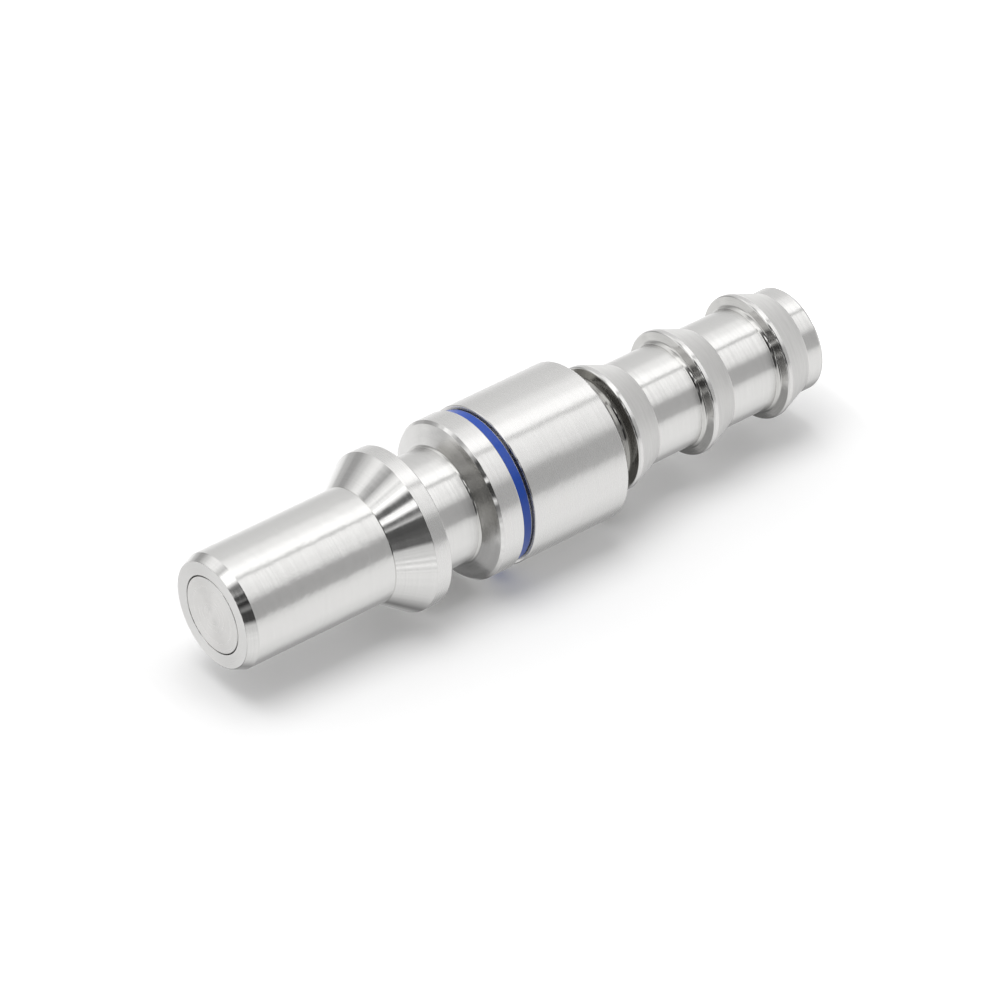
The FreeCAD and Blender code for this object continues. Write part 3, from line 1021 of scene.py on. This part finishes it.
@dataclass(frozen=True)
class ProductCamera:
    """The photograph's camera, as fitted to the outline of the coupling.

    In its view x runs right, y down and z away from it, in millimetres. There nose_in_view is
    the middle of the nose face, and axis_in_view the way from it to the hose end. It sees from
    the nearest to the farthest distance, in metres.
    """

    axis_in_view: Triple = (0.7805, -0.3791, 0.497)
    nose_in_view: Triple = (-24.359, 9.77, 507.707)
    focal_px: float = 6000.0
    image_px: float = 1000.0
    sensor_mm: float = 36.0
    nearest: float = 0.01
    farthest: float = 20.0

    def view_to_frame(self) -> Matrix:
        """The turn from the camera's view to the coupling's own frame.

        Returns:
            A 3 by 3 matrix whose rows are the frame's axes as the camera sees them.
        """
        upward = -Vector(self.axis_in_view).normalized()
        towards = Vector((0, 0, -1))
        forward = -(towards - upward * towards.dot(upward)).normalized()
        return Matrix((forward.cross(upward), forward, upward))

    def build(self, nose_height: float) -> bpy.types.Object:
        """Make the camera and set it as the scene's.

        Args:
            nose_height: Height of the nose face in metres.

        Returns:
            The camera.
        """
        turn = self.view_to_frame()
        lens = bpy.data.cameras.new("product_camera")
        lens.sensor_width = self.sensor_mm
        lens.lens = self.sensor_mm * self.focal_px / self.image_px
        lens.clip_start = self.nearest
        lens.clip_end = self.farthest
        camera = bpy.data.objects.new("product_camera", lens)
        axes = [turn @ Vector(way) for way in ((1, 0, 0), (0, -1, 0), (0, 0, -1))]
        spot = Vector((0, 0, nose_height)) - turn @ Vector(self.nose_in_view) * MM
        camera.matrix_world = Matrix.Translation(spot) @ Matrix(axes).transposed().to_4x4()
        bpy.context.scene.collection.objects.link(camera)
        bpy.context.scene.camera = camera
        return camera


@dataclass(frozen=True)
class Panel:
    """A stretch of the studio's wall with one light level, between two bearings in degrees.

    Bearing 0 is the camera's side, and a positive one lies towards the picture's lower edge.
    The level runs evenly from one panel's end to the next one's start.
    """

    start: float
    end: float
    level: float


@dataclass(frozen=True)
class Belt:
    """A belt of panels, once round the coupling.

    It takes over from the belt below it between two heights, given as sines. Streaks is how
    unevenly it shines along the bearing.
    """

    panels: tuple[Panel, ...]
    takes_over: Pair = (-1.0, -1.0)
    streaks: float = 0.24


STUDIO_BELTS = (
    # Far below, as the ridges' slopes reflect it
    Belt((
        Panel(-180, -158, 2.4), Panel(-143, -136, 1.5), Panel(-115, -108, 0.9),
        Panel(-80, -30, 0.7), Panel(-14, 20, 0.82), Panel(60, 92, 1.12),
        Panel(112, 118, 0.95), Panel(142, 146, 0.66), Panel(156, 172, 0.5),
        Panel(178, 180, 1.2),
    )),
    # Below the middle, as the cylinders reflect it
    Belt((
        Panel(-180, -160, 1.14), Panel(-136, -112, 0.84), Panel(-98, -92, 0.9),
        Panel(-78, -70, 1.36), Panel(-58, -44, 1.72), Panel(-42, -38, 0.55),
        Panel(-36, -24, 1.6), Panel(-11, -4, 1.42), Panel(0, 2, 1.2),
        Panel(12, 43, 0.53), Panel(47, 50, 0.98), Panel(58, 96, 1.1),
        Panel(124, 126, 0.9), Panel(142, 174, 0.42), Panel(179, 180, 1.0),
    ), takes_over=(-0.72, -0.58)),
    # Round the middle, as the lead-in, the nose face and the ramp's ends reflect it
    Belt((
        Panel(-180, -153, 1.06), Panel(-145, -140, 0.64), Panel(-131, -124, 0.48),
        Panel(-97, -80, 1.22), Panel(-69, -66, 0.8), Panel(-58, -39, 1.65),
        Panel(-29, -27, 0.3), Panel(-22, -12, 0.05), Panel(-2, 8, 0.02),
        Panel(16, 18, 0.34), Panel(22, 40, 0.06), Panel(49, 54, 0.82),
        Panel(70, 104, 1.02), Panel(121, 124, 0.87), Panel(152, 172, 0.18),
        Panel(177, 180, 1.06),
    ), takes_over=(-0.3, -0.1)),
    # Well above the middle, as the ramp reflects it
    Belt((
        Panel(-180, -147, 1.04), Panel(-140, -122, 0.54), Panel(-100, -96, 1.5),
        Panel(-88, -74, 0.54), Panel(-63, -50, 1.2), Panel(-46, -41, 1.65),
        Panel(-35, -26, 0.17), Panel(-22, -14, 1.6), Panel(-10, -5, 0.2),
        Panel(-1, 1, 0.75), Panel(4, 20, 0.11), Panel(30, 41, 0.15),
        Panel(46, 48, 0.82), Panel(72, 112, 1.1), Panel(138, 160, 0.43),
        Panel(168, 180, 1.08),
    ), takes_over=(0.38, 0.5), streaks=1.5),
    # Almost in line with the axis, as edges and the ridges' fronts reflect it
    Belt((
        Panel(-180, -110, 1.15), Panel(-85, -62, 0.95), Panel(-48, -12, 0.07),
        Panel(-6, -3, 1.4), Panel(2, 30, 0.05), Panel(35, 40, 1.2),
        Panel(46, 100, 0.08), Panel(128, 180, 1.0),
    ), takes_over=(0.74, 0.84), streaks=0.8),
)


@dataclass(frozen=True)
class StudioWorld:
    """The light round the coupling: the belts for its surfaces, plain white for the camera."""

    belts: tuple[Belt, ...] = STUDIO_BELTS
    streak_count: float = 12.0

    def ring(self, nodes: Nodes, bearing: bpy.types.NodeSocket, belt: Belt) -> bpy.types.NodeSocket:
        """Turn a bearing into a belt's light level.

        Args:
            nodes: The world's nodes.
            bearing: The bearing in radians.
            belt: The belt.

        Returns:
            The socket with the level as a grey.
        """
        share = nodes.reckon("MULTIPLY_ADD", bearing, 1 / (2 * math.pi), 0.5)
        ramp = nodes.add("ShaderNodeValToRGB", {0: share})
        elements = ramp.color_ramp.elements
        edges = [(end, panel.level) for panel in belt.panels for end in (panel.start, panel.end)]
        for index, (end, level) in enumerate(edges):
            spot = (end + 180) / 360
            element = elements[index] if index < 2 else elements.new(spot)
            element.position = spot
            element.color = (level, level, level, 1.0)
        turned = nodes.reckon("MULTIPLY", bearing, self.streak_count)
        lines = nodes.noise(detail=5.0, roughness=0.65, W=turned)
        change = nodes.spread(lines, 1 - belt.streaks / 2, 1 + belt.streaks / 2)
        streaked = nodes.add(
            "ShaderNodeVectorMath", {0: ramp.outputs[0], "Scale": change}, operation="SCALE"
        )
        return streaked.outputs[0]

    def build(self) -> bpy.types.World:
        """Build the world and set it as the scene's.

        Returns:
            The world.
        """
        world = bpy.data.worlds.new("soft_studio")
        bpy.context.scene.world = world
        world.use_nodes = True
        nodes = Nodes(world.node_tree)
        way = nodes.add("ShaderNodeTexCoord").outputs["Generated"]
        parts = nodes.add("ShaderNodeSeparateXYZ", {0: way})
        lower_side = nodes.reckon("MULTIPLY", parts.outputs[0], -1.0)
        near_side = nodes.reckon("MULTIPLY", parts.outputs[1], -1.0)
        bearing = nodes.reckon("ARCTAN2", lower_side, near_side)
        level = self.ring(nodes, bearing, self.belts[0])
        for belt in self.belts[1:]:
            share = nodes.spread(parts.outputs[2], 0.0, 1.0, belt.takes_over, eased=True)
            level = nodes.blend(share, level, self.ring(nodes, bearing, belt))
        path = nodes.add("ShaderNodeLightPath")
        seen = nodes.blend(path.outputs["Is Camera Ray"], level, WHITE)
        light = nodes.add("ShaderNodeBackground", {"Color": seen, "Strength": 1.0})
        nodes.add("ShaderNodeOutputWorld", {"Surface": light.outputs[0]})
        return world


@dataclass(frozen=True)
class Sheet:
    """A white sheet that only the camera sees: it keeps a soft shadow near its middle.

    Glow is the white that it adds to its own shade near the middle. Between the two distances
    of fade, in metres, it turns plain white. Half is half its side, in metres. Its back is clear.
    """

    name: str
    glow: float
    fade: Pair
    half: float
    shade: float = 0.8

    def material(self) -> bpy.types.Material:
        """Make the sheet's material.

        Returns:
            The material.
        """
        material = bpy.data.materials.new(self.name)
        material.use_nodes = True
        nodes = Nodes(material.node_tree)
        spot = nodes.add("ShaderNodeTexCoord").outputs["Object"]
        away = nodes.add("ShaderNodeVectorMath", {0: spot}, operation="LENGTH")
        glow = nodes.spread(away.outputs["Value"], self.glow, 1.0, self.fade, eased=True)
        paper = nodes.add("ShaderNodeBsdfDiffuse", {"Color": (self.shade,) * 3 + (1.0,)})
        white = nodes.add("ShaderNodeEmission", {"Color": (*WHITE, 1.0), "Strength": glow})
        front = nodes.add("ShaderNodeAddShader", {0: paper.outputs[0], 1: white.outputs[0]})
        clear = nodes.add("ShaderNodeBsdfTransparent")
        side = nodes.add("ShaderNodeNewGeometry").outputs["Backfacing"]
        sheet = nodes.add("ShaderNodeMixShader", {
            0: side, 1: front.outputs[0], 2: clear.outputs[0],
        })
        nodes.add("ShaderNodeOutputMaterial", {"Surface": sheet.outputs[0]})
        return material

    def lay(self, where: Matrix) -> bpy.types.Object:
        """Lay the sheet.

        Args:
            where: Where its middle lies and which way it faces.

        Returns:
            The new object.
        """
        mesh = bpy.data.meshes.new(self.name)
        half = self.half
        spots = [(-half, -half, 0), (half, -half, 0), (half, half, 0), (-half, half, 0)]
        mesh.from_pydata(spots, [], [(0, 1, 2, 3)])
        mesh.materials.append(self.material())
        sheet = bpy.data.objects.new(self.name, mesh)
        sheet.matrix_world = where
        bpy.context.scene.collection.objects.link(sheet)
        sheet.visible_glossy = False
        sheet.visible_diffuse = False
        sheet.visible_shadow = False
        sheet.visible_transmission = False
        return sheet


@dataclass(frozen=True)
class KeyLamp:
    """Large soft lamp opposite the floor, which gives the shadow.

    Its size and distance are in metres, and lean tips it away from straight above the floor.
    """

    power: float = 1.6
    size: float = 0.4
    distance: float = 0.6
    lean: Triple = (0.1, 0.05, 0.1)

    def hang(self, middle: Vector, facing: Vector) -> bpy.types.Object:
        """Hang the lamp.

        Args:
            middle: The point that it shines at.
            facing: The way that the floor faces.

        Returns:
            The lamp.
        """
        lamp = bpy.data.lights.new("key_panel", "AREA")
        lamp.shape = "SQUARE"
        lamp.size = self.size
        lamp.energy = self.power
        panel = bpy.data.objects.new("key_panel", lamp)
        way = (facing + Vector(self.lean)).normalized()
        panel.location = middle + way * self.distance
        panel.rotation_euler = way.to_track_quat("Z", "Y").to_euler()
        panel.visible_glossy = False
        panel.visible_camera = False
        bpy.context.scene.collection.objects.link(panel)
        return panel


@dataclass(frozen=True)
class Studio:
    """Light round the coupling, and the pale floor on which it lies in the photograph.

    The coupling stands in its own frame, so that floor is upright beside it, at a bearing in
    degrees and a gap from the axis in millimetres.
    """

    floor_bearing: float = -45.7
    floor_gap: float = BODY_RADIUS
    floor: Sheet = Sheet("floor", glow=0.06, fade=(0.036, 0.045), half=0.4)

    def build(self, middle_height: float) -> None:
        """Make the world, the floor and the lamp.

        Args:
            middle_height: Half the coupling's height in metres.
        """
        StudioWorld().build()
        bearing = math.radians(self.floor_bearing)
        facing = Vector((-math.sin(bearing), -math.cos(bearing), 0))
        middle = Vector((0, 0, middle_height))
        turned = facing.to_track_quat("Z", "Y").to_matrix().to_4x4()
        self.floor.lay(Matrix.Translation(middle - facing * self.floor_gap * MM) @ turned)
        KeyLamp().hang(middle, facing)


def main() -> None:
    """Build the coupling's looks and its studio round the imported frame."""
    logging.basicConfig(level=logging.INFO, format="%(name)s: %(message)s")
    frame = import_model()
    boxes = {name: [corner.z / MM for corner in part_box(name)] for name in frame["nodes"]}
    nose_rear, nose_face = boxes["nose_body"]
    NoseBody(face=nose_face, rear=nose_rear).build()
    HoseTail(front=boxes["hose_tail"][1]).build()
    ColourRing(*boxes["colour_ring"]).build()
    poppet_rear, poppet_face = boxes["valve_poppet"]
    ValvePoppet(face=poppet_face, rear=poppet_rear).build()
    ValveSpring(*boxes["valve_spring"]).build()
    InnerPieces(frame["nodes"]).dress()
    scene = bpy.context.scene
    scene.view_settings.view_transform = "Standard"
    ProductCamera().build(nose_face * MM)
    Studio().build(nose_face * MM / 2)


if __name__ == "__main__":
    main()
